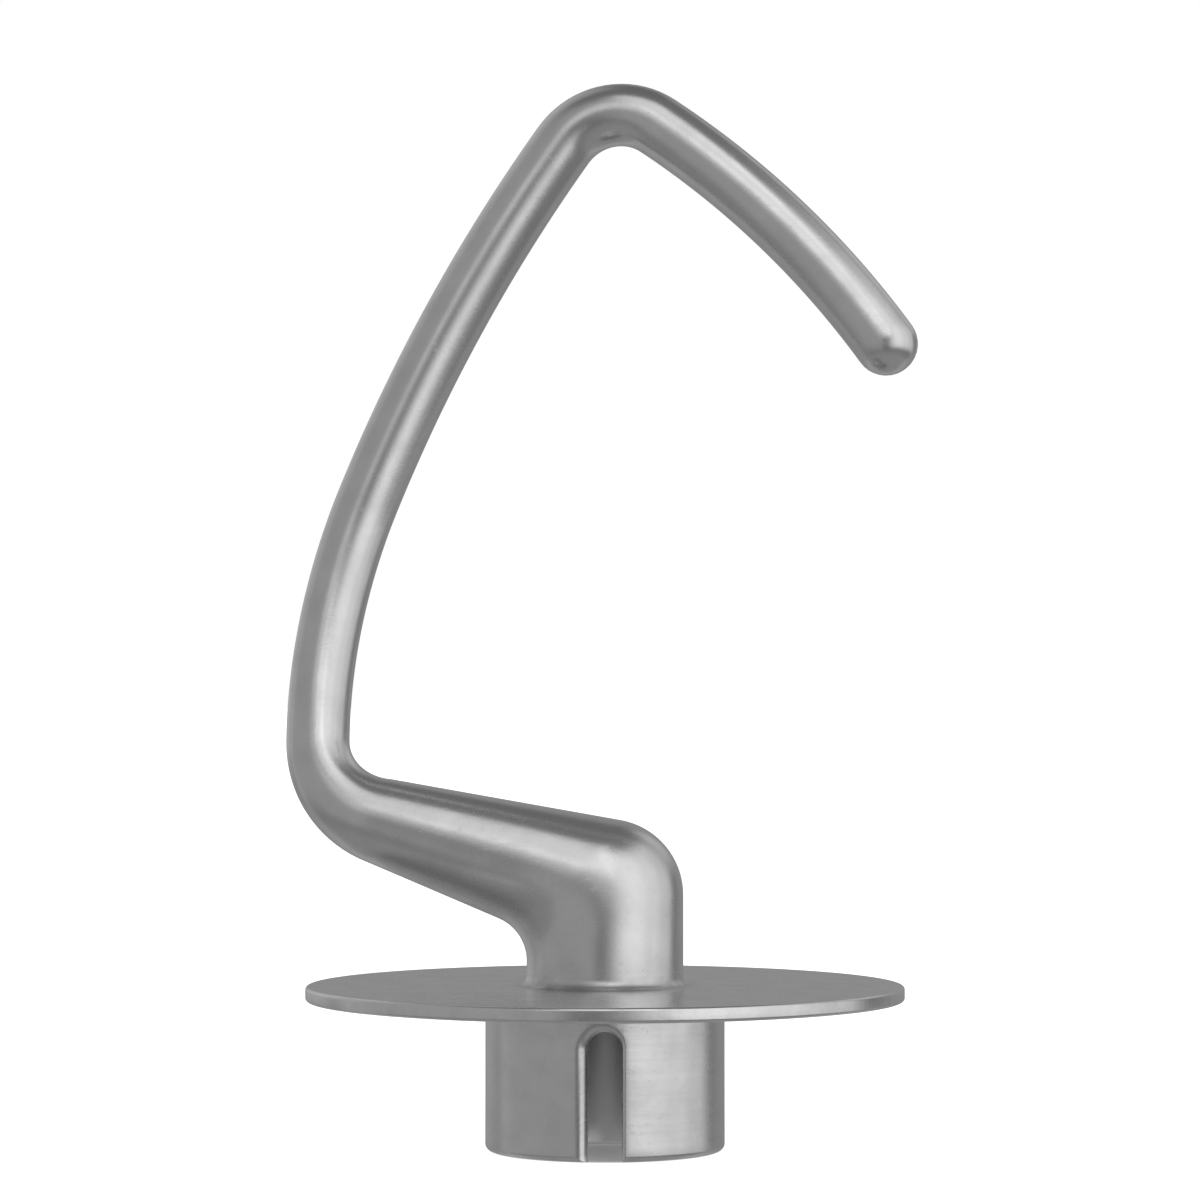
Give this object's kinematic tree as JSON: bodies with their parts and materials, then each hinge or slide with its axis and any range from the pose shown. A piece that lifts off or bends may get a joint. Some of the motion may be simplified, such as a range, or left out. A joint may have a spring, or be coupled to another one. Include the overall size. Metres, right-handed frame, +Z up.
{
  "type": "stand mixer dough hook",
  "caption": "Hook for kneading dough in a stand mixer: slotted hub for the drive shaft, thin shield disc, and an arm that tapers into a round C-shaped rod.",
  "frame": {"origin": "on the line of the shaft at the mouth of the hub, which is the face the hook stands on", "axes": "+Z up along the shaft line from the mouth to the hook, +X towards the tip of the hook, -Y towards the pin slot"},
  "size_m": [0.0956, 0.09, 0.1626],
  "materials": {
    "dough_hook": "burnished"
  },
  "bodies": {
    "root": {"dough_hook": "dough_hook"}
  },
  "joints": []
}
